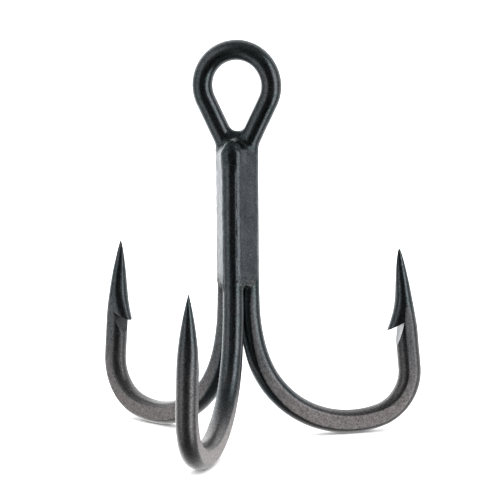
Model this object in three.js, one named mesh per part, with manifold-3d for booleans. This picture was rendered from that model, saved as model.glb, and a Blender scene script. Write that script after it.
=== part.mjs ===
// A brazed treble fishing hook: a one-piece double hook whose wire also forms the line eye, a single hook
// laid in the groove between its two shanks, and the brazing metal that joins the three shanks.
// Millimetres, +Z up. The origin is the centre of the line eye, the eye lies in the XZ plane, and the
// single hook opens towards -Y.
import * as THREE from "three";
import { mergeVertices } from "three/addons/utils/BufferGeometryUtils.js";
import Module from "manifold-3d";

// Wire and shank
const WIRE_RADIUS = 1.2;
const SHANK_OFFSET = 1.52; // from the shank's axis to each of the three wires
const JOINT_GAP = 0.03; // between the braze and the wires
const HOOK_AZIMUTHS = { single: -90, right: 30 }; // the third hook mirrors the right one

// Line eye, a teardrop
const EYE_RADIUS = 4.12; // centreline of the round part
const EYE_TO_NECK = 6.7; // down to where the two strands meet the shanks
const NECK_RADIUS = 4;

// Hook bend: three tangent arcs, each turning until it points that far round from straight down
const SHANK_FROM = 9.7; // below the eye's centre, where all three shanks are straight
const EYE_TO_BEND = 25.2;
const LEAD_IN = { radius: 23.8, until: 15, steps: 3 };
const BEND = { radius: 12.1, until: 106, steps: 16 };
const HEEL = { radius: 5.4, until: 185.2, steps: 12 };

// Spear point
const SPEAR_STRAIGHT = { double: 4.8, single: 3.7 }; // the single hook's wire is cut a little shorter
const SPEAR_TAPER = 9.6;
const SPEAR_FULLNESS = 0.6; // 1 is a plain cone, smaller is a fuller ogive
const SIDE_TAPER = 8.7; // the same across the hook's plane, where the grinding leaves it fuller
const SIDE_FULLNESS = 1.8; // 1 is a plain cone, larger is fuller

// Forged section: an oval pressed between two flats, given as half sizes
const FORGED_FROM = 23.4; // below the eye's centre
const FORGED_FULL_TURN = 25; // degrees of turn where the forging is complete
const FORGED_IN_TURN = 0.7; // share of the forging that is done while the wire turns
const FORGED_DEPTH = 1.38;
const FORGED_WIDTH = 1.2;
const FORGED_CROWN = 1.28; // the oval that the flats cut
const BEND_WIDTH = 1.15; // the same two at the bottom of the bend, where the flats are widest
const BEND_CROWN = 1.42;

// Barb and the notch that raises it, measured from the tip and from the spear's centreline
const BARB_FROM = 5.0;
const BARB_REACH = 2.4;
const NOTCH_ROOT = { back: 8.75, out: 0.5 };
const NOTCH_END = { back: 11.55, out: 1.38 };
const BARB_UNDERCUT = 24; // degrees that the barb's underside leans back
const BARB_FLARE = 2.4; // the larger, the later the tongue lifts off the spear
const TONGUE_SIZE = 0.97; // of the spear's section where the tongue starts, to stay inside it

// Single hook's top end and the braze
const SINGLE_TOP = 7.1; // below the eye's centre
const END_CHAMFER = 0.3;
const BRAZE_TOP = 7.3;
const BRAZE_BOTTOM = 23.6;
const BRAZE_PROUD = 0.05; // how far its flats stand off the wires
const BRAZE_EDGE = 40; // degrees from each wire's outer line to the edge of the braze
const BRAZE_RUNOUT = 1.5; // length over which it thins out at the bottom
const RUNOUT_SIZE = 0.55; // size of the outline where it ends, between the wires
const THROAT_TOP = 5.25; // below the eye's centre
const THROAT_HALF_WIDTH = 1.1;
const THROAT_HALF_DEPTH = 0.9;

const SIDES = 20;
const UP = new THREE.Vector3(0, 0, 1);

const radians = THREE.MathUtils.degToRad;
const blend = THREE.MathUtils.lerp;
const smooth = (t) => THREE.MathUtils.smoothstep(t, 0, 1);
const heading = (azimuth) =>
  new THREE.Vector3(Math.cos(radians(azimuth)), Math.sin(radians(azimuth)), 0);

// ---------- closed lofts ----------

// Joins rings of equal length into one closed mesh. Each end is closed by a fan to a point.
function loft(rings, first, last) {
  const sides = rings[0].length;
  const points = [first, ...rings.flat(), last];
  const end = points.length - 1;
  const at = (ring, k) => 1 + ring * sides + (k % sides);
  const faces = [];
  for (let k = 0; k < sides; k++) {
    faces.push(0, at(0, k + 1), at(0, k));
    for (let r = 0; r + 1 < rings.length; r++) {
      faces.push(at(r, k), at(r, k + 1), at(r + 1, k + 1));
      faces.push(at(r, k), at(r + 1, k + 1), at(r + 1, k));
    }
    faces.push(end, at(rings.length - 1, k), at(rings.length - 1, k + 1));
  }
  const geometry = new THREE.BufferGeometry().setFromPoints(points);
  geometry.setIndex(faces);
  return geometry;
}

function middleOf(ring) {
  const sum = new THREE.Vector3();
  for (const point of ring) sum.add(point);
  return sum.divideScalar(ring.length);
}

// ---------- wire sections ----------

// One cross-section of wire, as a ring of points. `along` is the way the wire runs, `inner` points across
// it, and `turn` starts the ring at another angle, which a round section doesn't show.
function wireRing({ centre, along, inner, depth, width, crown, turn = 0 }, grow = 0) {
  const side = new THREE.Vector3().crossVectors(along, inner);
  const ring = [];
  for (let k = 0; k < SIDES; k++) {
    const angle = (2 * Math.PI * k) / SIDES + radians(turn);
    const across = (crown + grow) * Math.sin(angle);
    const point = centre.clone();
    point.addScaledVector(inner, (depth + grow) * Math.cos(angle));
    point.addScaledVector(side, THREE.MathUtils.clamp(across, -width - grow, width + grow));
    ring.push(point);
  }
  return ring;
}

const round = { depth: WIRE_RADIUS, width: WIRE_RADIUS, crown: WIRE_RADIUS };

// The section after `amount` (0 to 1) of the forging, where the hook has turned by `turned` degrees.
function forged(amount, turned) {
  const bottom = Math.sin(radians(Math.min(turned, 180))) ** 2;
  return {
    depth: blend(WIRE_RADIUS, FORGED_DEPTH, amount),
    width: blend(WIRE_RADIUS, blend(FORGED_WIDTH, BEND_WIDTH, bottom), amount),
    crown: blend(WIRE_RADIUS, blend(FORGED_CROWN, BEND_CROWN, bottom), amount),
  };
}

// ---------- one hook: shank, bend and spear ----------

// A walk down the shank and round the bend, in the hook's own plane: `out` from the shank's axis and `z`.
// `turned` is the angle from straight down, and `forging` runs from 0 to 1.
function hookPath() {
  const inShank = 1 - FORGED_IN_TURN;
  const shankAt = (down, forging) => ({ out: SHANK_OFFSET, z: -down, turned: 0, forging });
  const path = [
    shankAt(SHANK_FROM, 0),
    shankAt(FORGED_FROM, 0),
    shankAt((FORGED_FROM + EYE_TO_BEND) / 2, inShank / 2),
    shankAt(EYE_TO_BEND, inShank),
  ];
  let from = path.at(-1);
  for (const { radius, until, steps } of [LEAD_IN, BEND, HEEL]) {
    const place = (turned) => ({
      out: from.out + radius * (Math.cos(radians(from.turned)) - Math.cos(radians(turned))),
      z: from.z - radius * (Math.sin(radians(turned)) - Math.sin(radians(from.turned))),
      turned,
    });
    for (let i = 1; i <= steps; i++) {
      const here = place(blend(from.turned, until, i / steps));
      const inTurn = FORGED_IN_TURN * smooth(here.turned / FORGED_FULL_TURN);
      path.push({ ...here, forging: inShank + inTurn });
    }
    from = place(until);
  }
  return path;
}

// The frame of a spear: its tip, the way it points, and the way to the shank.
function spearFrame(azimuth) {
  const heel = hookPath().at(-1);
  const { along, inner } = hookDirections(azimuth, heel.turned);
  const straight = azimuth === HOOK_AZIMUTHS.single ? SPEAR_STRAIGHT.single : SPEAR_STRAIGHT.double;
  const tip = hookPoint(azimuth, heel).addScaledVector(along, straight + SPEAR_TAPER);
  return { tip, along, inner, turned: heel.turned };
}

function hookPoint(azimuth, { out, z }) {
  return heading(azimuth).multiplyScalar(out).addScaledVector(UP, z);
}

// The way the wire runs, and the way across it to the inside of the bend.
function hookDirections(azimuth, turned) {
  const [c, s] = [Math.cos(radians(turned)), Math.sin(radians(turned))];
  const outward = heading(azimuth);
  return {
    along: outward.clone().multiplyScalar(s).addScaledVector(UP, -c),
    inner: outward.clone().multiplyScalar(c).addScaledVector(UP, s),
  };
}

// Half size of the tapering spear in its plane, as a share of the full wire, at a distance from the tip.
function spearShare(back) {
  return Math.min(1, back / SPEAR_TAPER) ** SPEAR_FULLNESS;
}

// The spear's half sizes across its plane: the oval narrows to the tip, and the flats cut it no further.
function spearSide(full, back) {
  const share = 1 - (1 - Math.min(1, back / SIDE_TAPER)) ** SIDE_FULLNESS;
  return { width: Math.min(full.width, full.crown * share), crown: full.crown * share };
}

// Sections from the shank to just short of the tip.
function hookSections(azimuth) {
  const sections = hookPath().map((place) => ({
    centre: hookPoint(azimuth, place),
    ...hookDirections(azimuth, place.turned),
    ...forged(place.forging, place.turned),
  }));
  const { tip, along, inner, turned } = spearFrame(azimuth);
  const full = forged(1, turned);
  const taperSteps = 12;
  const crowding = 1.6; // sections lie closer together towards the tip
  for (let i = taperSteps; i > 0; i--) {
    const back = SPEAR_TAPER * (i / taperSteps) ** crowding;
    sections.push({
      centre: tip.clone().addScaledVector(along, -back),
      along,
      inner,
      depth: full.depth * spearShare(back),
      ...spearSide(full, back),
    });
  }
  return sections;
}

// ---------- barb ----------

// A point near the tip: `back` from the tip, `out` towards the shank, `across` the wire.
function spearPoint({ tip, along, inner }, back, out, across) {
  const side = new THREE.Vector3().crossVectors(along, inner);
  return tip
    .clone()
    .addScaledVector(along, -back)
    .addScaledVector(inner, out)
    .addScaledVector(side, across);
}

// The raised tongue. Its last section lies in the plane of the barb's underside.
function barbTongue(frame) {
  const lean = Math.tan(radians(BARB_UNDERCUT));
  const steps = 6;
  const full = forged(1, frame.turned);
  const rings = [];
  for (let i = 0; i <= steps; i++) {
    const t = i / steps;
    const root = blend(BARB_FROM, NOTCH_ROOT.back, t);
    const depth = TONGUE_SIZE * full.depth * spearShare(root);
    const reach = blend(depth, BARB_REACH, t ** BARB_FLARE);
    const half = TONGUE_SIZE * spearSide(full, root).width;
    const ring = [];
    for (let k = 0; k < SIDES; k++) {
      const angle = (2 * Math.PI * k) / SIDES;
      const out = Math.cos(angle) * (Math.cos(angle) > 0 ? reach : depth / 2);
      const back = root + t * lean * (out - NOTCH_ROOT.out);
      ring.push(spearPoint(frame, back, out, half * Math.sin(angle)));
    }
    rings.push(ring.reverse());
  }
  return loft(rings, middleOf(rings[0]), middleOf(rings.at(-1)));
}

// The wedge that the cutter takes out: along the barb's underside and along the scooped face below it.
function notchWedge(frame) {
  const lean = Math.tan(radians(BARB_UNDERCUT));
  const above = 2 * BARB_REACH;
  const beyond = 1.3; // of the scooped face's length, so that the wedge clears the wire
  const corners = [
    [NOTCH_ROOT.back, NOTCH_ROOT.out],
    [NOTCH_ROOT.back + lean * above, NOTCH_ROOT.out + above],
    [
      blend(NOTCH_ROOT.back, NOTCH_END.back, beyond),
      blend(NOTCH_ROOT.out, NOTCH_END.out, beyond),
    ],
  ];
  const half = 2 * WIRE_RADIUS;
  const rings = [-half, half].map((across) =>
    corners.map(([back, out]) => spearPoint(frame, back, out, across)),
  );
  return loft(rings, middleOf(rings[0]), middleOf(rings[1]));
}

// ---------- line eye ----------

// Sections from the top of the eye, down its right side and strand, into the right shank.
function eyeSections() {
  const eyeY = SHANK_OFFSET * Math.sin(radians(HOOK_AZIMUTHS.right));
  const shankX = SHANK_OFFSET * Math.cos(radians(HOOK_AZIMUTHS.right));
  const distance = Math.hypot(shankX, EYE_TO_NECK);
  const strandLean = Math.asin(EYE_RADIUS / distance) - Math.atan2(shankX, EYE_TO_NECK);
  const sections = [];
  const add = (x, z, outwards) => {
    const inner = new THREE.Vector3(Math.cos(outwards), 0, Math.sin(outwards));
    const along = new THREE.Vector3(Math.sin(outwards), 0, -Math.cos(outwards));
    const centre = new THREE.Vector3(x, eyeY, z);
    sections.push({ centre, along, inner, ...round, turn: -HOOK_AZIMUTHS.right });
  };
  const roundSteps = 15;
  for (let i = 0; i <= roundSteps; i++) {
    const angle = blend(Math.PI / 2, -strandLean, i / roundSteps);
    add(EYE_RADIUS * Math.cos(angle), EYE_RADIUS * Math.sin(angle), angle);
  }
  const neckX = shankX + NECK_RADIUS;
  const neckZ = -EYE_TO_NECK - NECK_RADIUS * Math.tan(strandLean / 2);
  const neckSteps = 5;
  for (let i = neckSteps; i >= 0; i--) {
    const angle = (strandLean * i) / neckSteps;
    const x = neckX - NECK_RADIUS * Math.cos(angle);
    add(x, neckZ + NECK_RADIUS * Math.sin(angle), -angle);
  }
  return sections;
}

// ---------- the pieces ----------

// The double hook's wire, grown by `grow` all round.
function doubleHookWire(grow = 0) {
  const half = [...eyeSections(), ...hookSections(HOOK_AZIMUTHS.right)];
  const right = half.map((section) => wireRing(section, grow));
  const mirrored = (point) => new THREE.Vector3(-point.x, point.y, point.z);
  const left = right.slice(1).map((ring) => ring.map(mirrored));
  const { tip } = spearFrame(HOOK_AZIMUTHS.right);
  return loft([...left.reverse(), ...right], mirrored(tip), tip);
}

function singleHookWire(grow = 0) {
  const azimuth = HOOK_AZIMUTHS.single;
  const shank = { ...hookDirections(azimuth, 0), ...round };
  const at = (z) => hookPoint(azimuth, { out: SHANK_OFFSET, z });
  const chamfered = WIRE_RADIUS - END_CHAMFER;
  const end = { depth: chamfered, width: chamfered, crown: chamfered };
  const sections = [
    { ...shank, ...end, centre: at(-SINGLE_TOP + grow) },
    { ...shank, centre: at(-SINGLE_TOP - END_CHAMFER) },
    ...hookSections(azimuth),
  ];
  const rings = sections.map((section) => wireRing(section, grow));
  return loft(rings, at(-SINGLE_TOP + grow), spearFrame(azimuth).tip);
}

// The outline that the braze fills between the three shanks: three flats, each with a bevelled edge that
// meets the wire's surface. Anticlockwise, seen from above, from the single hook's wire.
function brazeOutline() {
  const flatDistance = SHANK_OFFSET / 2 + WIRE_RADIUS + BRAZE_PROUD;
  const corners = [];
  for (const azimuth of [-90, 30, 150]) {
    const wire = heading(azimuth).multiplyScalar(SHANK_OFFSET);
    for (const side of [-1, 1]) {
      const edgeWay = heading(azimuth + side * BRAZE_EDGE);
      const flatWay = heading(azimuth + side * 60);
      const edge = wire.clone().addScaledVector(edgeWay, WIRE_RADIUS + JOINT_GAP);
      const toFlat = flatDistance - edge.dot(flatWay);
      const slide = heading(azimuth + side * (BRAZE_EDGE + 90));
      const bevel = edge.clone().addScaledVector(slide, toFlat / slide.dot(flatWay));
      corners.push(...(side < 0 ? [bevel, edge] : [edge, bevel]));
    }
  }
  return corners;
}

function brazeFill() {
  const outline = brazeOutline();
  const eyeY = SHANK_OFFSET / 2;
  // the throat's outline has one point for each corner of the shank's outline
  const throat = outline.map((corner) => {
    const way = Math.atan2(corner.y, corner.x);
    const x = THROAT_HALF_WIDTH * Math.cos(way);
    return new THREE.Vector3(x, eyeY + THROAT_HALF_DEPTH * Math.sin(way), 0);
  });
  const ringAt = (z, size, towardsThroat) =>
    outline.map((corner, i) => {
      const point = corner.clone().multiplyScalar(size);
      return point.lerp(throat[i], towardsThroat).setZ(z);
    });
  const rings = [];
  const runoutSteps = 5;
  for (let i = 0; i <= runoutSteps; i++) {
    const t = i / runoutSteps;
    const size = blend(RUNOUT_SIZE, 1, Math.sqrt(1 - (1 - t) ** 2));
    rings.push(ringAt(-BRAZE_BOTTOM + BRAZE_RUNOUT * t, size, 0));
  }
  const throatSteps = 7;
  for (let i = 0; i <= throatSteps; i++) {
    const t = i / throatSteps;
    rings.push(ringAt(blend(-BRAZE_TOP, -THROAT_TOP, t), 1, smooth(t)));
  }
  return loft(rings, middleOf(rings[0]), middleOf(rings.at(-1)));
}

// ---------- solids ----------

const wasm = await Module();
wasm.setup();

function solid(geometry) {
  const merged = mergeVertices(geometry, 1e-4);
  return new wasm.Manifold(
    new wasm.Mesh({
      numProp: 3,
      vertProperties: merged.attributes.position.array,
      triVerts: new Uint32Array(merged.index.array),
    }),
  );
}

function geometryOf(manifold) {
  const mesh = manifold.getMesh();
  const geometry = new THREE.BufferGeometry();
  geometry.setAttribute("position", new THREE.BufferAttribute(mesh.vertProperties, 3));
  geometry.setIndex(new THREE.BufferAttribute(mesh.triVerts, 1));
  const flat = geometry.toNonIndexed();
  flat.computeVertexNormals();
  return flat;
}

// Raises a barb on each of a wire's spears.
function barbed(wire, azimuths) {
  let result = solid(wire);
  for (const azimuth of azimuths) {
    const frame = spearFrame(azimuth);
    result = result.add(solid(barbTongue(frame))).subtract(solid(notchWedge(frame)));
  }
  return result;
}

const plated = { color: 0x2b3436, roughness: 0.34, metalness: 1.0 };
const finishes = {
  steel: new THREE.MeshStandardMaterial(plated),
  braze: new THREE.MeshStandardMaterial({ ...plated, color: 0x4b5355, roughness: 0.45 }),
};

function piece(name, manifold, finish) {
  const mesh = new THREE.Mesh(geometryOf(manifold), finish);
  mesh.name = name;
  // the shank's axis runs behind the eye's plane by half the wires' offset
  mesh.position.y = -SHANK_OFFSET / 2;
  return mesh;
}

const leftAzimuth = 180 - HOOK_AZIMUTHS.right;
const doubleHook = barbed(doubleHookWire(), [HOOK_AZIMUTHS.right, leftAzimuth]);
const singleHook = barbed(singleHookWire(), [HOOK_AZIMUTHS.single]);
const braze = solid(brazeFill())
  .subtract(solid(doubleHookWire(JOINT_GAP)))
  .subtract(solid(singleHookWire(JOINT_GAP)));

const trebleHook = new THREE.Group();
trebleHook.add(
  piece("double_hook", doubleHook, finishes.steel),
  piece("single_hook", singleHook, finishes.steel),
  piece("braze_fillet", braze, finishes.braze),
);

export default trebleHook;
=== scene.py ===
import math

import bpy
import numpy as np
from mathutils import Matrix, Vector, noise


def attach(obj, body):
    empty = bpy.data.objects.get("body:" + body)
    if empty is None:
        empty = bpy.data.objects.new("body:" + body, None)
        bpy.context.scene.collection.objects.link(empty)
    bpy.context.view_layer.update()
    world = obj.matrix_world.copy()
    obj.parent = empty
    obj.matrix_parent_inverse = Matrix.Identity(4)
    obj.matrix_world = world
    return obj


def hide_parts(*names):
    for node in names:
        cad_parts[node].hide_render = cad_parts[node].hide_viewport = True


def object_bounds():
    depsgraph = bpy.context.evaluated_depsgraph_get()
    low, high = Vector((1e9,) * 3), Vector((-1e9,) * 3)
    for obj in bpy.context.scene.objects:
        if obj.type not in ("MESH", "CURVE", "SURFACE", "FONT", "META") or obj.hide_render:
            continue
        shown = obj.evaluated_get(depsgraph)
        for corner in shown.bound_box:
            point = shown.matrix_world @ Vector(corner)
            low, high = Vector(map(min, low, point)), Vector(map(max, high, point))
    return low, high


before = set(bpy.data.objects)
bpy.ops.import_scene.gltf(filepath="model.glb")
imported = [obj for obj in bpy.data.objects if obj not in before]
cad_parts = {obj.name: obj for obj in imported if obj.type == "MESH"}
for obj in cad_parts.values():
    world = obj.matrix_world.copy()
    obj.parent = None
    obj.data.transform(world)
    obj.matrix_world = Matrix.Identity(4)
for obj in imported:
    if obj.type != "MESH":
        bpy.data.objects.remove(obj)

# A brazed treble fishing hook in satin black nickel, on a pale floor in soft studio light.
#
# The wires and the braze repeat the CAD model's dimensions, in millimetres, with a finer surface.
# Meshes are made in metres, in the CAD model's frame: +Z up, origin at the centre of the line eye.

CAD_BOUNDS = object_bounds()
MM = 0.001

# ---------- the hook's dimensions, millimetres and degrees ----------

WIRE_RADIUS = 1.2
SHANK_OFFSET = 1.52
SINGLE, RIGHT, LEFT = -90, 30, 150  # azimuths of the three hooks
HALF_SPACING = 60  # half the angle between two of them
EYE_Y = SHANK_OFFSET * math.sin(math.radians(RIGHT))  # the plane of the eye and its two shanks

EYE_RADIUS = 4.12
EYE_TO_NECK = 6.7
NECK_RADIUS = 4.0
EYE_TO_BEND = 25.2
BEND_ARCS = ((23.8, 15), (12.1, 106), (5.4, 185.2))

SPEAR_STRAIGHT = {SINGLE: 3.7, RIGHT: 4.8}  # the left hook mirrors the right one
SPEAR_TAPER = 9.6
SPEAR_FULLNESS = 0.6
SIDE_TAPER = 8.7
SIDE_FULLNESS = 1.8

FORGED_FROM = 23.4
FORGED_FULL_TURN = 25
FORGED_IN_TURN = 0.7
FORGED_DEPTH = 1.38
FORGED_WIDTH = 1.2
FORGED_CROWN = 1.28
BEND_WIDTH = 1.15
BEND_CROWN = 1.42
FLAT_EDGE = 0.025  # softness of the edge between a forged flat and the round

BARB_FROM = 5.0
BARB_REACH = 2.4
NOTCH_ROOT = (8.75, 0.5)  # (back from the tip, out from the spear's centreline)
NOTCH_END = (11.55, 1.38)
BARB_UNDERCUT = 24
BARB_FLARE = 2.2
BARB_POINT = 1.3  # the larger, the narrower the raised tongue
BARB_TO = 12.4  # where the barb's mesh rejoins the plain spear
SCOOP = 0.05  # hollow of the notch's long face
BESIDE_NOTCH = 0.9  # where the rows of the barb's mesh run beside the notch, from its root
BESIDE_ROOT = 0.05
BESIDE_RIM = 0.1
HEEL_ROWS, FACE_ROWS, UNDER_ROWS, TONGUE_ROWS = 16, 12, 6, 30
TIP_ROWS = 44
TIP_CROWDING = 1.5  # the larger, the closer together the rows are near the tip
NOTCH_WEAR, BARB_WEAR, POINT_WEAR = 0.7, 1.0, 0.5  # how far the plating is worn there

SINGLE_TOP = 7.1
END_CHAMFER = 0.3
CHAMFER_ROWS = 5
BRAZE_TOP = 7.3
BRAZE_BOTTOM = 23.6
BRAZE_PROUD = 0.05
BRAZE_EDGE = 40
EDGE_GAP = 0.005  # between the wires and the edges of the braze's outline
BRAZE_RUNOUT = 1.5
RUNOUT_CUT = 0.63  # how much the braze thins over the runout
RAGGED_END = ((0.3, 3.1, 1.7, 2.6), (0.22, -5.3, 6.1, 4.1))  # waves: (height, along x, along y, phase)
THROAT_TOP = 5.25
THROAT_HALF_WIDTH = 1.1
THROAT_HALF_DEPTH = 0.9
SHOULDER_HEIGHT = 0.45  # over which the braze's flats round off towards the throat
SHOULDER_SLOPE = 1.0
THROAT_BLEND = 1.6  # between the throat's filling and the swelling over the single hook's end
SHANK_BLEND = 0.6  # between those two and the flats below
CAP_CENTRE = 7.9  # the swelling of the braze over the single hook's end, below the eye's centre
CAP_RADIUS = 1.24
CAP_HEIGHT = 1.9
SHANK_FILLET = 0.12  # where the braze meets the wires
THROAT_FILLET = 0.75
THROAT_FILLET_FROM = 1.0  # how far below the top of the flats the larger fillet starts
THROAT_FILLET_RISE = 1.4
HIDDEN = 0.03  # how far the braze's skin lies inside the wires, away from the joint
SPREAD = 0.09  # how far the fillets reach past the braze's core, besides their own size
BRAZE_WAVES = (0.035, 1.1, 11.3)  # (height, size, seed) of the braze's unevenness
BRAZE_LUMPS = (0.02, 0.4, 4.9)
END_LUMPS = 0.09  # extra height of the lumps at the braze's lower end
END_LUMPS_REACH = 2.4  # how far above that end they fade out
BRAZE_CELL = 0.11  # the grid that the braze's surface is drawn on
BRAZE_ROOM = ((-3.1, -3.3, -BRAZE_BOTTOM - 1.2), (3.1, 2.4, -THROAT_TOP + 1.6))  # its corners
FILLED = -0.05  # the distance, in cells, at a corner that was filled to keep the surface whole
STRAND_FROM = 2.0  # the part of the double hook that the braze follows, below the eye's centre
STRAND_STRAIGHT = 10.0  # from here down it is straight
STRAND_TO = BRAZE_BOTTOM + 2.0
STRAND_EVERY = 6  # rings of the eye's mesh
SLOPE_REACH = 0.02  # these three settle the grid's points on the true surface
LEAST_SLOPE = 0.3
LONGEST_SHIFT = 0.05
END_SHADE_REACH = 0.3  # painted shade darkens the braze over the single hook's end, this far from its wire
END_SHADE_FROM = 1.2  # and from this far below the swelling's middle
END_SHADE_RISE = 0.5

WIRE_WAVES = (0.012, 1.6)  # (height, size) of the wires' unevenness
SIDES = 96
STEP = 0.2  # between the sections along a wire
SHARP_WIRE, SHARP_BRAZE = 38, 80  # edges that turn by more than this stay sharp

UP = np.array((0.0, 0.0, 1.0))
MIRROR = np.array((-1.0, 1.0, 1.0))


def heading(azimuth):
    """Level unit vector at an azimuth."""
    turn = math.radians(azimuth)
    return np.array((math.cos(turn), math.sin(turn), 0.0))


def smooth(t):
    """Smoothstep from 0 to 1."""
    t = np.clip(t, 0.0, 1.0)
    return t * t * (3.0 - 2.0 * t)


def blend(a, b, t):
    return a + (b - a) * t


# ---------- wire sections ----------

ANGLES = np.arange(SIDES) * 2.0 * math.pi / SIDES
NEVER_FLAT = -0.1
UNPRESSED = -0.03  # keeps the plain shank clear of the look of the flats


def soft_clamp(value, limit, softness):
    """Limits the size of value, with a small radius where the limit starts."""
    size = -softness * np.logaddexp(-np.abs(value) / softness, -limit / softness)
    return np.sign(value) * np.maximum(size, 0.0)


def forged_section(amount, turned):
    """(depth, width, crown) after `amount` of the forging, where the hook has turned by `turned`."""
    bottom = math.sin(math.radians(min(turned, 180.0))) ** 2
    return (
        blend(WIRE_RADIUS, FORGED_DEPTH, amount),
        blend(WIRE_RADIUS, blend(FORGED_WIDTH, BEND_WIDTH, bottom), amount),
        blend(WIRE_RADIUS, blend(FORGED_CROWN, BEND_CROWN, bottom), amount),
    )


def section_points(section):
    """Offsets (inwards, across) of a section's outline."""
    depth, width, crown = section
    return depth * np.cos(ANGLES), soft_clamp(crown * np.sin(ANGLES), width, FLAT_EDGE * crown)


def flatness(section):
    """How far past the flats the unpressed oval would reach: above 0 on a flat, below 0 on a round."""
    _, width, crown = section
    return np.abs(crown * np.sin(ANGLES)) / width - 1.0


class Rings:
    """Sections of a wire in order, each with the data that its material reads."""

    LISTS = ("points", "flat", "along", "edge")

    def __init__(self):
        self.points = []
        self.flat = []
        self.along = []
        self.edge = []

    def add(self, points, flat, along, edge=None):
        self.points.append(points)
        self.flat.append(flat)
        self.along.append(np.broadcast_to(along, (SIDES,)).astype(float))
        self.edge.append(np.zeros(SIDES) if edge is None else edge)

    def joined(self, other):
        both = Rings()
        for name in self.LISTS:
            setattr(both, name, getattr(self, name) + getattr(other, name))
        return both

    def without_first(self):
        rest = Rings()
        for name in self.LISTS:
            setattr(rest, name, getattr(self, name)[1:])
        return rest

    def mirrored(self):
        """The same wire on the other side of X = 0, run the other way."""
        other = Rings()
        other.points = [ring * MIRROR for ring in reversed(self.points)]
        for name in ("flat", "along", "edge"):
            setattr(other, name, list(reversed(getattr(self, name))))
        other.along = [-along for along in other.along]
        return other


def steps_for(length):
    return max(1, math.ceil(length / STEP))


# ---------- one hook: shank, bend and spear ----------


def hook_frame(azimuth, turned):
    """(along, inner, side) unit vectors of the wire in a hook's plane."""
    turn = math.radians(turned)
    along = heading(azimuth) * math.sin(turn) - UP * math.cos(turn)
    inner = heading(azimuth) * math.cos(turn) + UP * math.sin(turn)
    return along, inner, np.cross(along, inner)


def hook_path(top):
    """Places down the shank from `top` below the eye and round the bend: (out, z, turned, forging)."""
    in_shank = 1.0 - FORGED_IN_TURN
    places = []
    count = steps_for(EYE_TO_BEND - top)
    for down in np.linspace(top, EYE_TO_BEND, count, endpoint=False):
        done = max(0.0, (down - FORGED_FROM) / (EYE_TO_BEND - FORGED_FROM))
        places.append((SHANK_OFFSET, -down, 0.0, in_shank * done))
    out, z, turned = SHANK_OFFSET, -EYE_TO_BEND, 0.0
    for radius, until in BEND_ARCS:
        count = steps_for(radius * math.radians(until - turned))
        for here in np.linspace(turned, until, count, endpoint=False):
            x = out + radius * (math.cos(math.radians(turned)) - math.cos(math.radians(here)))
            y = z - radius * (math.sin(math.radians(here)) - math.sin(math.radians(turned)))
            forging = in_shank + FORGED_IN_TURN * float(smooth(here / FORGED_FULL_TURN))
            places.append((x, y, here, forging))
        out += radius * (math.cos(math.radians(turned)) - math.cos(math.radians(until)))
        z -= radius * (math.sin(math.radians(until)) - math.sin(math.radians(turned)))
        turned = until
    return places, (out, z, turned)


def spear_section(full, back):
    """The section at distances back from the tip.

    The tip is ground, so the flats cut the oval no further.
    """
    depth, width, crown = full
    share = np.clip(back / SPEAR_TAPER, 0.0, 1.0) ** SPEAR_FULLNESS
    side_share = 1.0 - (1.0 - np.clip(back / SIDE_TAPER, 0.0, 1.0)) ** SIDE_FULLNESS
    return depth * share, width, crown * side_share


class Spear:
    """The straight, tapering end of a hook, with its barb."""

    def __init__(self, azimuth):
        heel_out, heel_z, turned = hook_path(EYE_TO_BEND)[1]
        self.length = SPEAR_STRAIGHT[azimuth] + SPEAR_TAPER
        self.along, self.inner, self.side = hook_frame(azimuth, turned)
        heel = heading(azimuth) * heel_out + UP * heel_z
        self.tip = heel + self.along * self.length
        self.section = forged_section(1.0, turned)

    def place(self, back, out, across):
        back, out, across = np.broadcast_arrays(back, out, across)
        return (
            self.tip
            - back[..., None] * self.along
            + out[..., None] * self.inner
            + across[..., None] * self.side
        )

    def surface(self, back):
        """Offsets of the plain spear's surface at distances back from the tip."""
        return section_points(spear_section(self.section, back))

    def add(self, rings, back, along, out=None, across=None, edge=None):
        """Adds a ring at distances back from the tip, on the plain spear's surface if no place is given."""
        back = np.broadcast_to(back, (SIDES,))
        if out is None:
            out, across = self.surface(back)
        pressed = flatness(spear_section(self.section, back))
        rings.add(self.place(back, out, across), pressed, along, edge)


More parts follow.
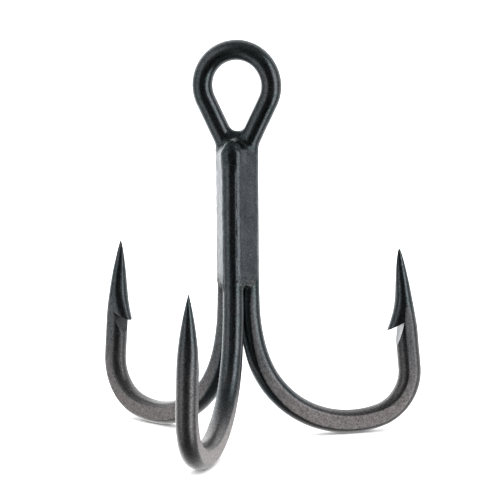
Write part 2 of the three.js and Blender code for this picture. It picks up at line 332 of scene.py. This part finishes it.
def barb_grid(spear):
    """The barb as a grid of (back, out, across, edge): rows from the heel's side to the tip's side.

    Each row crosses the wire. On the notch's side a row follows the spear, drops down the scooped face to
    the notch's root, climbs the barb's underside to its edge, and returns down the raised tongue.
    """
    root_back, root_out = NOTCH_ROOT
    lean = math.tan(math.radians(BARB_UNDERCUT))
    slope = (NOTCH_END[1] - root_out) / (NOTCH_END[0] - root_back)
    angles = (ANGLES + math.pi) % (2.0 * math.pi) - math.pi
    root_depth = float(spear_section(spear.section, root_back)[0])
    half_notch = math.acos(root_out / root_depth)
    q = np.abs(angles) / half_notch
    cut = q < 1.0
    q = np.minimum(q, 1.0)

    lift = (BARB_REACH - root_depth) * (1.0 - q * q) ** BARB_POINT
    reach = root_depth * np.cos(angles) + lift
    rim_back = np.where(cut, root_back + lean * (reach - root_out), root_back - BESIDE_RIM)
    beside_root = root_back + BESIDE_ROOT
    beside_notch = root_back + BESIDE_NOTCH
    far_back = np.full(SIDES, beside_notch)
    for _ in range(4):  # settles where the notch's long face leaves the spear
        surface_out = spear.surface(far_back)[0]
        far_back = np.where(cut, root_back + (surface_out - root_out) / slope, beside_notch)

    rows = []

    def add(back, out, across, edge=0.0):
        rows.append((back, out, across, np.where(cut, edge, 0.0)))

    for t in np.linspace(0.0, 1.0, HEEL_ROWS, endpoint=False):
        back = blend(BARB_TO, far_back, (smooth(t) + t) / 2.0)
        out, across = spear.surface(back)
        add(back, out, across)
    for t in np.linspace(0.0, 1.0, FACE_ROWS, endpoint=False):
        back = np.where(cut, blend(far_back, root_back, t), blend(far_back, beside_root, t))
        plain_out, across = spear.surface(back)
        face = root_out + slope * (back - root_back) - SCOOP * math.sin(math.pi * t) * (1.0 - q)
        add(back, np.where(cut, face, plain_out), across, edge=NOTCH_WEAR if t == 0.0 else 0.0)
    root_across = spear.surface(np.full(SIDES, root_back))[1]
    rim_across = spear.surface(rim_back)[1]
    for t in np.linspace(0.0, 1.0, UNDER_ROWS, endpoint=False):
        back = np.where(cut, blend(root_back, rim_back, t), blend(beside_root, rim_back, t))
        plain_out = spear.surface(back)[0]
        out = np.where(cut, blend(root_out, reach, t), plain_out)
        add(back, out, np.where(cut, blend(root_across, rim_across, t), spear.surface(back)[1]))
    rim_rise = reach - spear.surface(rim_back)[0]
    for t in np.linspace(0.0, 1.0, TONGUE_ROWS):
        back = blend(rim_back, BARB_FROM, t)
        plain_out, across = spear.surface(back)
        out = plain_out + np.where(cut, rim_rise * (1.0 - t) ** BARB_FLARE, 0.0)
        add(back, out, across, edge=BARB_WEAR if t == 0.0 else 0.0)
    return rows


def hook_rings(azimuth, top):
    """Sections from `top` on the shank to just short of the tip, barb and all."""
    rings = Rings()
    places, _ = hook_path(top)
    for out, z, turned, forging in places:
        _, inner, side = hook_frame(azimuth, turned)
        section = forged_section(forging, turned)
        inwards, across = section_points(section)
        centre = heading(azimuth) * out + UP * z
        points = centre + inwards[:, None] * inner + across[:, None] * side
        flat = flatness(section) + (UNPRESSED if forging == 0.0 else 0.0)
        rings.add(points, flat, len(rings.points) * STEP)
    spear = Spear(azimuth)
    start = rings.along[-1][0]
    count = steps_for(spear.length - BARB_TO)
    for back in np.linspace(spear.length, BARB_TO, count, endpoint=False):
        spear.add(rings, back, start + spear.length - back)
    for back, out, across, edge in barb_grid(spear):
        spear.add(rings, back, start + spear.length - back, out, across, edge)
    for t in np.linspace(1.0, 0.0, TIP_ROWS, endpoint=False)[1:]:
        back = BARB_FROM * t**TIP_CROWDING
        spear.add(rings, back, start + spear.length - back)
    return rings, spear


# ---------- line eye ----------


def eye_rings():
    """Sections from the top of the eye down its right side and strand to the right shank."""
    shank_x = SHANK_OFFSET * math.cos(math.radians(RIGHT))
    reach = math.hypot(shank_x, EYE_TO_NECK)
    lean = math.asin(EYE_RADIUS / reach) - math.atan2(shank_x, EYE_TO_NECK)
    neck = (shank_x + NECK_RADIUS, -EYE_TO_NECK - NECK_RADIUS * math.tan(lean / 2.0))
    rings = Rings()

    def add(x, z, outwards):
        inner = np.array((math.cos(outwards), 0.0, math.sin(outwards)))
        along = np.array((math.sin(outwards), 0.0, -math.cos(outwards)))
        side = np.cross(along, inner)
        turned = ANGLES - math.radians(RIGHT)
        offsets = WIRE_RADIUS * (np.cos(turned)[:, None] * inner + np.sin(turned)[:, None] * side)
        centre = np.array((x, EYE_Y, z))
        rings.add(centre + offsets, np.full(SIDES, NEVER_FLAT), len(rings.points) * STEP)

    count = steps_for(EYE_RADIUS * (math.pi / 2.0 + lean))
    for angle in np.linspace(math.pi / 2.0, -lean, count, endpoint=False):
        add(EYE_RADIUS * math.cos(angle), EYE_RADIUS * math.sin(angle), angle)
    strand_top = np.array((EYE_RADIUS * math.cos(lean), -EYE_RADIUS * math.sin(lean)))
    strand_end = np.array(neck) + NECK_RADIUS * np.array((-math.cos(lean), math.sin(lean)))
    count = steps_for(float(np.linalg.norm(strand_end - strand_top)))
    for t in np.linspace(0.0, 1.0, count, endpoint=False):
        add(*blend(strand_top, strand_end, t), -lean)
    count = steps_for(NECK_RADIUS * lean)
    for angle in np.linspace(lean, 0.0, count, endpoint=False):
        x = neck[0] - NECK_RADIUS * math.cos(angle)
        add(x, neck[1] + NECK_RADIUS * math.sin(angle), -angle)
    return rings, -neck[1]


# ---------- meshes ----------

SHANK_AXIS = np.array((0.0, -SHANK_OFFSET / 2.0, 0.0))


def uneven(points, normals, height, size, seed):
    """Moves points along their normals by smooth noise, as hand-finished metal is uneven.

    `height` is one number, or one for each point.
    """
    shift = Vector((seed, -seed, 0.5 * seed))
    lumps = np.array([noise.noise(Vector(point / size) + shift) for point in points])
    return points + normals * (height * lumps)[:, None]


def wire_mesh(name, rings, first, last, seed):
    """One closed, smooth mesh from a wire's rings and its two end points."""
    grid = np.array(rings.points) + SHANK_AXIS
    count = len(grid)
    centres = grid.mean(axis=1, keepdims=True)
    normals = grid - centres
    normals /= np.linalg.norm(normals, axis=2, keepdims=True)
    skin = uneven(grid.reshape(-1, 3), normals.reshape(-1, 3), *WIRE_WAVES, seed)
    points = np.vstack((skin, first + SHANK_AXIS, last + SHANK_AXIS)) * MM
    faces = []
    for r in range(count - 1):
        a, b = r * SIDES, (r + 1) * SIDES
        for k in range(SIDES):
            n = (k + 1) % SIDES
            faces.append((a + k, a + n, b + n, b + k))
    start, end = count * SIDES, count * SIDES + 1
    for k in range(SIDES):
        n = (k + 1) % SIDES
        faces.append((start, n, k))
        faces.append((end, (count - 1) * SIDES + k, (count - 1) * SIDES + n))
    mesh = bpy.data.meshes.new(name)
    mesh.from_pydata(points.tolist(), [], faces)
    around = np.tile(ANGLES, count) * WIRE_RADIUS
    along = np.concatenate(rings.along)
    grain = np.stack((along, around, np.zeros_like(along)), axis=1)
    ends = np.array((grain[0], grain[-1]))
    store(mesh, "forged", np.append(np.concatenate(rings.flat), (NEVER_FLAT, NEVER_FLAT)))
    store(mesh, "edge", np.append(np.concatenate(rings.edge), (POINT_WEAR, POINT_WEAR)))
    vectors = mesh.attributes.new("wire_place", "FLOAT_VECTOR", "POINT")
    vectors.data.foreach_set("vector", np.vstack((grain, ends)).astype(np.float32).ravel())
    return finished(name, mesh, SHARP_WIRE)


def store(mesh, name, values):
    attribute = mesh.attributes.new(name, "FLOAT", "POINT")
    attribute.data.foreach_set("value", np.asarray(values, np.float32))


def finished(name, mesh, sharp_above):
    mesh.validate()
    mesh.shade_smooth()
    mesh.set_sharp_from_angle(angle=math.radians(sharp_above))
    piece = bpy.data.objects.new(name, mesh)
    bpy.context.scene.collection.objects.link(piece)
    return piece


def make_double_hook():
    eye, shank_top = eye_rings()
    hook, spear = hook_rings(RIGHT, shank_top)
    half = eye.joined(hook)
    whole = half.without_first().mirrored().joined(half)
    return wire_mesh("double_hook_wire", whole, spear.tip * MIRROR, spear.tip, seed=3.1)


def make_single_hook():
    hook, spear = hook_rings(SINGLE, SINGLE_TOP + END_CHAMFER)
    centre = heading(SINGLE) * SHANK_OFFSET - UP * SINGLE_TOP
    _, inner, side = hook_frame(SINGLE, 0.0)
    end = Rings()
    for t in np.linspace(0.0, 1.0, CHAMFER_ROWS, endpoint=False):
        radius = WIRE_RADIUS - END_CHAMFER * (1.0 - math.sin(t * math.pi / 2.0))
        drop = END_CHAMFER * (1.0 - math.cos(t * math.pi / 2.0))
        ring = np.cos(ANGLES)[:, None] * inner + np.sin(ANGLES)[:, None] * side
        end.add(centre - UP * drop + radius * ring, np.full(SIDES, NEVER_FLAT), 0.0)
    return wire_mesh("single_hook_wire", end.joined(hook), centre, spear.tip, seed=7.7)


def braze_outline():
    """The braze's outline round the three shanks: flats with bevelled edges that meet the wires."""
    flat_distance = SHANK_OFFSET / 2.0 + WIRE_RADIUS + BRAZE_PROUD
    corners = []
    for azimuth in (SINGLE, RIGHT, LEFT):
        wire = heading(azimuth) * SHANK_OFFSET
        pair = []
        for side in (-1, 1):
            edge = wire + heading(azimuth + side * BRAZE_EDGE) * (WIRE_RADIUS + EDGE_GAP)
            flat_way = heading(azimuth + side * HALF_SPACING)
            slide = heading(azimuth + side * (BRAZE_EDGE + 90))
            to_flat = flat_distance - edge @ flat_way
            pair.append((edge, edge + slide * to_flat / (slide @ flat_way)))
        (edge_a, bevel_a), (edge_b, bevel_b) = pair
        corners += [bevel_a, edge_a, edge_b, bevel_b]
    return np.array(corners)


def smooth_min(a, b, reach):
    """The smaller of two distances, with a fillet where they are within `reach` of each other."""
    near = np.maximum(reach - np.abs(a - b), 0.0) / reach
    return np.minimum(a, b) - near * near * reach / 4.0


def distance_to_path(points, path):
    """Distance from each point to a line through a list of points."""
    best = np.full(points.shape[:-1], np.inf)
    for here, there in zip(path[:-1], path[1:]):
        span = there - here
        share = np.clip(((points - here) @ span) / (span @ span), 0.0, 1.0)
        best = np.minimum(best, np.linalg.norm(points - here - share[..., None] * span, axis=-1))
    return best


def in_prism(points, outline):
    """Distance outside a convex outline, below 0 inside it."""
    best = np.full(points.shape[:-1], -np.inf)
    for here, there in zip(outline, np.roll(outline, -1, axis=0)):
        span = (there - here) / np.linalg.norm(there - here)
        outwards = np.array((span[1], -span[0]))
        best = np.maximum(best, (points[..., :2] - here[:2]) @ outwards)
    return best


def braze_distance(points, strand):
    """Distance outside the braze, in millimetres from the shank's axis at the eye's height."""
    x, y, z = points[..., 0], points[..., 1], points[..., 2]
    ragged = sum(height * np.sin(a * x + b * y + phase) for height, a, b, phase in RAGGED_END)
    above_end = z + BRAZE_BOTTOM + ragged
    thinning = RUNOUT_CUT * (1.0 - np.clip(above_end / BRAZE_RUNOUT, 0.0, 1.0)) ** 4
    shoulder = SHOULDER_SLOPE * np.maximum(z + BRAZE_TOP + SHOULDER_HEIGHT, 0.0) ** 2
    shank = in_prism(points, braze_outline()) + thinning + shoulder
    shank = np.maximum(shank, -above_end)

    sizes = (THROAT_HALF_WIDTH, THROAT_HALF_DEPTH, BRAZE_TOP - THROAT_TOP)
    throat = np.linalg.norm((points - (0.0, EYE_Y, -BRAZE_TOP)) / sizes, axis=-1)
    throat = (throat - 1.0) * THROAT_HALF_DEPTH
    sizes = (CAP_RADIUS, CAP_RADIUS, CAP_HEIGHT)
    cap = np.linalg.norm((points - (0.0, -SHANK_OFFSET, -CAP_CENTRE)) / sizes, axis=-1)
    cap = (cap - 1.0) * CAP_RADIUS
    core = smooth_min(shank, smooth_min(throat, cap, THROAT_BLEND), SHANK_BLEND)

    mirrored = np.stack((np.abs(x), y, z), axis=-1)
    double = distance_to_path(mirrored, strand) - WIRE_RADIUS
    single = np.hypot(x, y + SHANK_OFFSET) - WIRE_RADIUS
    single = np.maximum(single, z + SINGLE_TOP)
    in_throat = smooth((z + BRAZE_TOP + THROAT_FILLET_FROM) / THROAT_FILLET_RISE)
    fillet = blend(SHANK_FILLET, THROAT_FILLET, in_throat)
    braze = smooth_min(core, single + HIDDEN, SHANK_FILLET)
    braze = smooth_min(braze, double + HIDDEN, fillet)
    return np.maximum(braze, core - SPREAD - fillet)


def unpinched(values):
    """The grid with each square filled that the surface would cut twice, so that it never meets itself."""
    pinches = True
    while pinches:
        pinches = False
        for u, v in ((0, 1), (0, 2), (1, 2)):
            grid = np.moveaxis(values, (u, v), (0, 1))
            corners = [grid[:-1, :-1], grid[1:, :-1], grid[:-1, 1:], grid[1:, 1:]]
            a, b, c, d = [corner < 0.0 for corner in corners]
            pinched = (a == d) & (b == c) & (a != b)
            pinches = pinches or bool(pinched.any())
            for corner in corners:
                corner[pinched] = np.minimum(corner[pinched], FILLED * BRAZE_CELL)
    return values


def surface_net(values, first, step):
    """(points, quads) of the surface where a grid of distances passes zero."""
    shape = np.array(values.shape) - 1
    corners = np.array([(i, j, k) for i in (0, 1) for j in (0, 1) for k in (0, 1)])

    def at(corner):
        i, j, k = corner
        return values[i : i + shape[0], j : j + shape[1], k : k + shape[2]]

    total = np.zeros((*shape, 3))
    count = np.zeros(shape)
    for a in corners:
        for b in corners:
            if (b - a).sum() != 1 or (b - a).min() < 0:
                continue
            here, there = at(a), at(b)
            crossing = (here < 0.0) != (there < 0.0)
            share = np.where(crossing, here / np.where(crossing, here - there, 1.0), 0.0)
            total += crossing[..., None] * (a + share[..., None] * (b - a))
            count += crossing
    cells = np.argwhere(count > 0)
    index = np.full(shape, -1)
    index[tuple(cells.T)] = np.arange(len(cells))
    inside = tuple(cells.T)
    points = first + (cells + total[inside] / count[inside][:, None]) * step

    quads = []
    for axis in range(3):
        b, c = (axis + 1) % 3, (axis + 2) % 3
        before = np.take(values, range(0, values.shape[axis] - 1), axis)
        after = np.take(values, range(1, values.shape[axis]), axis)
        edges = np.argwhere((before < 0.0) != (after < 0.0))
        keep = np.all(edges > 0, axis=1) & np.all(edges < shape, axis=1)
        keep |= (edges[:, axis] == 0) & (edges[:, b] > 0) & (edges[:, c] > 0)
        edges = edges[keep]
        ring = []
        for back_b, back_c in ((1, 1), (0, 1), (0, 0), (1, 0)):
            cell = edges.copy()
            cell[:, b] -= back_b
            cell[:, c] -= back_c
            ring.append(index[tuple(cell.T)])
        ring = np.stack(ring, axis=1)
        leaving = before[tuple(edges.T)] < 0.0
        quads.append(np.where(leaving[:, None], ring, ring[:, ::-1]))
    return points, np.concatenate(quads)


def make_braze():
    """The brazing metal: a surface round the joint, with fillets to the wires, drawn from its distance."""
    # the right wire's centreline; the left one mirrors it
    eye, _ = eye_rings()
    centres = [ring.mean(axis=0) for ring in eye.points]
    shank = heading(RIGHT) * SHANK_OFFSET
    strand = centres[::STRAND_EVERY] + [shank - UP * STRAND_STRAIGHT, shank - UP * STRAND_TO]
    strand = np.array([point for point in strand if point[2] < -STRAND_FROM])
    first, last = np.array(BRAZE_ROOM)
    axes = [np.arange(low, high, BRAZE_CELL) for low, high in zip(first, last)]
    places = np.stack(np.meshgrid(*axes, indexing="ij"), axis=-1)
    points, quads = surface_net(unpinched(braze_distance(places, strand)), first, BRAZE_CELL)

    def slope_at(points):
        columns = []
        for axis in np.eye(3) * SLOPE_REACH:
            rise = braze_distance(points + axis, strand) - braze_distance(points - axis, strand)
            columns.append(rise / (2.0 * SLOPE_REACH))
        return np.stack(columns, axis=-1)

    for _ in range(2):
        slope = slope_at(points)
        steepness = np.maximum((slope**2).sum(axis=1), LEAST_SLOPE)
        shift = braze_distance(points, strand) / steepness
        points = points - np.clip(shift, -LONGEST_SHIFT, LONGEST_SHIFT)[:, None] * slope
    slope = slope_at(points)
    normals = slope / np.maximum(np.linalg.norm(slope, axis=1, keepdims=True), 1e-6)
    heights = points[:, 2].copy()
    off_single = np.hypot(points[:, 0], points[:, 1] + SHANK_OFFSET) - WIRE_RADIUS
    # painted shade over the single hook's end, stored for the braze's material
    painted_end_shade = smooth((heights + CAP_CENTRE + END_SHADE_FROM) / END_SHADE_RISE)
    painted_end_shade = (1.0 - smooth(off_single / END_SHADE_REACH)) * painted_end_shade
    near_end = 1.0 - smooth((heights + BRAZE_BOTTOM) / END_LUMPS_REACH)
    points = uneven(points, normals, *BRAZE_WAVES)
    height, size, seed = BRAZE_LUMPS
    points = uneven(points, normals, height + END_LUMPS * near_end, size, seed)
    mesh = bpy.data.meshes.new("braze_fill")
    mesh.from_pydata(((points + SHANK_AXIS) * MM).tolist(), [], quads.tolist())
    store(mesh, "height_mm", heights)
    store(mesh, "painted_end_shade", painted_end_shade)
    return finished("braze_fill", mesh, SHARP_BRAZE)


# ---------- materials ----------

# base colours; a pair runs from the darkest to the lightest patches
ROUNDS = ((0.086, 0.106, 0.112, 1), (0.112, 0.119, 0.129, 1))
DULL_ROUND = (0.148, 0.146, 0.149, 1)
HIGH_FLATS = ((0.118, 0.124, 0.131, 1), (0.17, 0.174, 0.18, 1))
# painted reflection: the flats low on the bends are lighter, standing in for the pale floor, as well as
# warmer
LOW_FLATS_WARM_AND_FLOOR_LIT = ((0.248, 0.23, 0.233, 1), (0.335, 0.307, 0.304, 1))
WORN_EDGE = (0.30, 0.30, 0.31, 1)
BRAZE_FACE = ((0.085, 0.1, 0.112, 1), (0.15, 0.162, 0.175, 1))
BRAZE_PITTED = ((0.055, 0.064, 0.068, 1), (0.165, 0.163, 0.162, 1))
# painted shade: the dark colour of the braze at the throat and over the single hook's end
BRAZE_THROAT_SHADE = (0.06, 0.075, 0.079, 1)
PALE_FLOOR = (0.88, 0.88, 0.88, 1)

LOW_FLATS_AT = (-32.0, -39.0)  # heights over which the flats turn to their low colours: warmer, and lighter as a painted reflection of the floor
DULL_AT = (39.0, 45.0)  # how far below the eye the rounds turn dull
DULL_LEAN = 0.6  # how much lower a place counts for each millimetre out from the shank's axis
ALONG_WIRE = (0.35, 7.0, 1.0)  # stretches the drawing streaks along the wire
GRAIN_DEPTH = 0.02 * MM


class Nodes:
    """A node tree, with short ways to add and join nodes."""

    def __init__(self, tree):
        self.tree = tree

    def node(self, kind, inputs=(), **settings):
        made = self.tree.nodes.new(kind)
        for key, value in settings.items():
            setattr(made, key, value)
        for key, value in dict(inputs).items():
            self.put(made.inputs[key], value)
        return made

    def put(self, socket, value):
        if isinstance(value, bpy.types.NodeSocket):
            self.tree.links.new(value, socket)
        else:
            socket.default_value = value

    def math(self, operation, *values):
        return self.node("ShaderNodeMath", enumerate(values), operation=operation).outputs[0]

    def vector(self, operation, inputs, output="Vector"):
        return self.node("ShaderNodeVectorMath", inputs, operation=operation).outputs[output]

    def ramp(self, value, low, high, to_low=0.0, to_high=1.0, **settings):
        inputs = {0: value, 1: low, 2: high, 3: to_low, 4: to_high}
        return self.node("ShaderNodeMapRange", inputs, **settings).outputs[0]

    def mix(self, factor, a, b):
        return self.node("ShaderNodeMix", {0: factor, 6: a, 7: b}, data_type="RGBA").outputs[2]


class Shader(Nodes):
    """A new material's node tree."""

    def __init__(self, name):
        self.material = bpy.data.materials.new(name)
        self.material.use_nodes = True
        super().__init__(self.material.node_tree)
        self.surface = self.tree.nodes["Principled BSDF"]

    def attribute(self, name, output="Fac"):
        return self.node("ShaderNodeAttribute", attribute_name=name).outputs[output]

    def noise(self, place, scale, detail=4.0, roughness=0.55):
        inputs = {"Vector": place, "Scale": scale, "Detail": detail, "Roughness": roughness}
        return self.node("ShaderNodeTexNoise", inputs).outputs["Fac"]

    def millimetres(self):
        """The surface's place in the object's own frame, in millimetres."""
        place = self.node("ShaderNodeTexCoord").outputs["Object"]
        return self.vector("SCALE", {0: place, "Scale": 1.0 / MM})

    def bump(self, height, strength):
        inputs = {"Height": height, "Distance": GRAIN_DEPTH, "Strength": strength}
        self.put(self.surface.inputs["Normal"], self.node("ShaderNodeBump", inputs).outputs[0])


def plated_wire():
    """Satin black nickel on drawn wire: near-black rounds, greyer and grainier forged flats."""
    s = Shader("black_nickel_wire")
    place = s.millimetres()
    forged = s.ramp(s.attribute("forged"), 0.0, 0.012)
    edge = s.attribute("edge")
    drawn = s.vector("MULTIPLY", {0: s.attribute("wire_place", "Vector"), 1: ALONG_WIRE})
    clouds = s.noise(place, 0.35, detail=3.0)
    mottle = s.noise(place, 2.2, detail=5.0, roughness=0.65)
    grain = s.noise(place, 5.0, detail=4.0, roughness=0.75)
    streaks = s.noise(drawn, 1.0, detail=3.0)

    rounds = s.mix(s.ramp(clouds, 0.35, 0.65), *ROUNDS)
    height_mm = s.node("ShaderNodeSeparateXYZ", {0: place}).outputs["Z"]
    low = s.ramp(height_mm, *LOW_FLATS_AT)  # the bends are duller and warmer than the shank, and their flats lighter: a painted reflection of the pale floor
    level = s.vector("MULTIPLY", {0: place, 1: (1, 1, 0)})
    reach = s.vector("LENGTH", {0: level}, "Value")
    below = s.math("SUBTRACT", s.math("MULTIPLY", reach, DULL_LEAN), height_mm)
    dull = s.ramp(below, *DULL_AT)  # and so is the start of each spear
    rounds = s.mix(dull, rounds, DULL_ROUND)
    high_flats = s.mix(s.ramp(mottle, 0.35, 0.7), *HIGH_FLATS)
    warm_floor_lit_flats = s.mix(s.ramp(mottle, 0.35, 0.7), *LOW_FLATS_WARM_AND_FLOOR_LIT)
    flats = s.mix(low, high_flats, warm_floor_lit_flats)
    colour = s.mix(forged, rounds, flats)
    speckle = s.ramp(grain, 0.32, 0.68, 0.4, 1.6)
    tinted = s.vector("SCALE", {0: colour, "Scale": speckle})
    worn = s.ramp(s.math("MULTIPLY", edge, s.ramp(mottle, 0.3, 0.6, 0.5, 1.2)), 0.25, 0.9)
    s.put(s.surface.inputs["Base Color"], s.mix(worn, tinted, WORN_EDGE))

    rough = s.math("ADD", s.ramp(mottle, 0.3, 0.7, 0.19, 0.28), s.math("MULTIPLY", forged, 0.14))
    rough = s.math("ADD", rough, s.ramp(streaks, 0.35, 0.65, -0.03, 0.03))
    rough = s.math("ADD", rough, s.math("MULTIPLY", dull, 0.1))
    s.put(s.surface.inputs["Roughness"], rough)
    s.surface.inputs["Metallic"].default_value = 1.0

    height = s.math("MULTIPLY", grain, s.ramp(forged, 0.0, 1.0, 0.35, 1.0))
    height = s.math("ADD", height, s.math("MULTIPLY", streaks, 0.25))
    s.bump(height, 0.7)
    return s.material


def plated_braze():
    """Black nickel over brazing metal: bluer and lighter than the wire, cloudy, pitted at its ends, with
    painted shade at its top in the throat and over the single hook's end.
    """
    s = Shader("black_nickel_braze")
    place = s.millimetres()
    clouds = s.noise(place, 0.5, detail=4.0, roughness=0.6)
    mottle = s.noise(place, 2.6, detail=6.0, roughness=0.7)
    grain = s.noise(place, 5.0, detail=4.0, roughness=0.75)
    height = s.attribute("height_mm")
    ragged = s.math("ADD", height, s.ramp(mottle, 0.2, 0.8, -0.9, 0.9))
    end = s.ramp(ragged, -BRAZE_BOTTOM + 2.2, -BRAZE_BOTTOM + 0.2)
    # painted shade: the braze's top, in the throat under the eye, turns dark
    throat = s.ramp(ragged, -BRAZE_TOP - 0.7, -BRAZE_TOP + 0.3)
    # painted shade over the single hook's end joins the throat's
    throat = s.math("MAXIMUM", throat, s.attribute("painted_end_shade"))

    face = s.mix(s.ramp(clouds, 0.3, 0.7), *BRAZE_FACE)
    pitted = s.mix(s.ramp(mottle, 0.42, 0.58), *BRAZE_PITTED)
    colour = s.mix(end, face, pitted)
    colour = s.mix(throat, colour, BRAZE_THROAT_SHADE)
    speckle = s.ramp(grain, 0.32, 0.68, 0.5, 1.5)
    s.put(s.surface.inputs["Base Color"], s.vector("SCALE", {0: colour, "Scale": speckle}))
    rough = s.math("ADD", s.ramp(mottle, 0.3, 0.7, 0.28, 0.42), s.math("MULTIPLY", end, 0.1))
    rough = s.math("SUBTRACT", rough, s.math("MULTIPLY", throat, 0.1))
    s.put(s.surface.inputs["Roughness"], rough)
    s.surface.inputs["Metallic"].default_value = 1.0
    lumps = s.math("ADD", grain, s.math("MULTIPLY", mottle, 2.0))
    s.bump(lumps, 0.6)
    return s.material


# ---------- the object ----------


def place_piece(piece, node, material):
    piece.data.materials.append(material)
    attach(piece, "root")
    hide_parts(node)


wire_finish = plated_wire()
place_piece(make_double_hook(), "double_hook", wire_finish)
place_piece(make_single_hook(), "single_hook", wire_finish)
place_piece(make_braze(), "braze_fillet", plated_braze())

# ---------- stage, light and camera ----------

CAMERA_AZIMUTH = 14.9
CAMERA_ELEVATION = 8.52
CAMERA_ROLL = -0.45
CAMERA_DISTANCE = 303 * MM
VIEW_WIDTH = 58.2 * MM  # of the object's plane, across the whole picture
AIM_RIGHT = 1.59 * MM
AIM_HEIGHT = -19.13 * MM
SENSOR = 36.0
NEAREST, FARTHEST = 0.01, 20.0
FLOOR_HALF = 3.0
LAMP_BEHIND = 90  # from the camera's azimuth to the heading of what stands behind the hook
LAMP_ELEVATION = 70
LAMP_DISTANCE = 0.6
LAMP_SIZE = 0.3
LAMP_POWER = 0.8


def make_floor():
    lowest = CAD_BOUNDS[0].z
    sides = ((-1, -1), (1, -1), (1, 1), (-1, 1))
    corners = [(x * FLOOR_HALF, y * FLOOR_HALF, lowest) for x, y in sides]
    mesh = bpy.data.meshes.new("floor")
    mesh.from_pydata(corners, [], [(0, 1, 2, 3)])
    floor = bpy.data.objects.new("floor", mesh)
    bpy.context.scene.collection.objects.link(floor)
    s = Shader("pale_floor")
    s.surface.inputs["Base Color"].default_value = PALE_FLOOR
    s.surface.inputs["Roughness"].default_value = 0.9
    s.surface.inputs["Specular IOR Level"].default_value = 0.1
    mesh.materials.append(s.material)
    floor.visible_glossy = False  # the metal reflects the studio alone


BACK_WALL = 1.15  # brightness of the white wall behind the hook

# brightness round the horizon, by the angle from the camera, positive to the picture's right
HORIZON = (
    (-180, BACK_WALL), (-170, 2.5), (-138, 2.5), (-124, 1.5), (-112, 0.9), (-96, 0.42), (-80, 0.38),
    (-73, 0.7), (-46, 0.7), (-36, 0.1), (-22, 0.01), (20, 0.01), (34, 0.12), (43, 2.0), (62, 2.0),
    (74, 0.5), (84, 0.34), (98, 0.34), (112, 0.8), (126, 1.4), (150, 1.5), (180, BACK_WALL),
)
# the same from the camera's side over the top or under the floor to the back
OVERHEAD = (
    (0, 0.06), (70, 0.12), (88, 0.2), (100, 0.45), (114, 0.9), (126, BACK_WALL), (180, BACK_WALL),
)
FLOOR_LIGHT = (2.6, 2.6, 2.6)  # high-key white that lights the floor and stands behind it
LEVEL, STEEP = 0.45, 0.85  # how far up or down a direction points where OVERHEAD starts and takes over


def shade_by_angle(s, value, stops):
    """A colour ramp from stops of (angle, brightness), over the angles' whole range."""
    first, last = stops[0][0], stops[-1][0]
    share = s.ramp(value, math.radians(first), math.radians(last))
    shade = s.node("ShaderNodeValToRGB", {"Fac": share})
    elements = shade.color_ramp.elements
    while len(elements) < len(stops):
        elements.new(0.5)
    for element, (angle, brightness) in zip(elements, stops):
        element.position = (angle - first) / (last - first)
        element.color = (brightness, brightness, brightness, 1.0)
    return shade.outputs["Color"]


def make_world():
    """A soft white studio.

    Metal reflects a dark camera side, a softbox at each side and a white back wall. All else is lit by
    plain white.
    """
    world = bpy.data.worlds.new("studio")
    bpy.context.scene.world = world
    world.use_nodes = True
    s = Nodes(world.node_tree)
    direction = s.node("ShaderNodeTexCoord").outputs["Generated"]

    def along(*axis):
        return s.vector("DOT_PRODUCT", {0: direction, 1: axis}, "Value")

    turn = math.radians(CAMERA_AZIMUTH)
    front = along(math.sin(turn), -math.cos(turn), 0.0)
    right = along(math.cos(turn), math.sin(turn), 0.0)
    up = along(0.0, 0.0, 1.0)
    horizon = shade_by_angle(s, s.math("ARCTAN2", right, front), HORIZON)
    overhead = shade_by_angle(s, s.math("ARCCOSINE", front), OVERHEAD)
    steep = s.ramp(s.math("ABSOLUTE", up), LEVEL, STEEP, interpolation_type="SMOOTHSTEP")
    studio = s.mix(steep, horizon, overhead)
    glossy = s.node("ShaderNodeLightPath").outputs["Is Glossy Ray"]
    seen = s.mix(glossy, (*FLOOR_LIGHT, 1.0), studio)
    s.put(s.tree.nodes["Background"].inputs["Color"], seen)


def make_lamp():
    """A softbox high over the hook and a little behind it. It shapes the shadows only."""
    light = bpy.data.lights.new("top_softbox", "AREA")
    light.shape = "RECTANGLE"
    light.size = light.size_y = LAMP_SIZE
    light.energy = LAMP_POWER
    lamp = bpy.data.objects.new("top_softbox", light)
    bpy.context.scene.collection.objects.link(lamp)
    rise = math.radians(LAMP_ELEVATION)
    away = Vector(heading(CAMERA_AZIMUTH + LAMP_BEHIND) * math.cos(rise) + UP * math.sin(rise))
    middle = (CAD_BOUNDS[0] + CAD_BOUNDS[1]) / 2.0
    lamp.location = middle + away * LAMP_DISTANCE
    lamp.rotation_mode = "QUATERNION"
    lamp.rotation_quaternion = away.to_track_quat("Z", "Y")
    lamp.visible_glossy = False


def make_camera():
    camera = bpy.data.cameras.new("camera")
    camera.sensor_width = SENSOR
    camera.lens = SENSOR * CAMERA_DISTANCE / VIEW_WIDTH
    camera.clip_start, camera.clip_end = NEAREST, FARTHEST
    eye = bpy.data.objects.new("camera", camera)
    bpy.context.scene.collection.objects.link(eye)
    turn, rise = math.radians(CAMERA_AZIMUTH), math.radians(CAMERA_ELEVATION)
    back = Vector((math.sin(turn) * math.cos(rise), -math.cos(turn) * math.cos(rise), math.sin(rise)))
    right = Vector((math.cos(turn), math.sin(turn), 0.0))
    aim = Vector(SHANK_AXIS * MM) + right * AIM_RIGHT + Vector((0, 0, AIM_HEIGHT))
    up = back.cross(right)
    roll = Matrix.Rotation(math.radians(CAMERA_ROLL), 3, back)
    axes = Matrix((roll @ right, roll @ up, back)).transposed()
    eye.matrix_world = Matrix.Translation(aim + back * CAMERA_DISTANCE) @ axes.to_4x4()
    bpy.context.scene.camera = eye


make_floor()
make_world()
make_lamp()
make_camera()
bpy.context.scene.view_settings.view_transform = "Standard"
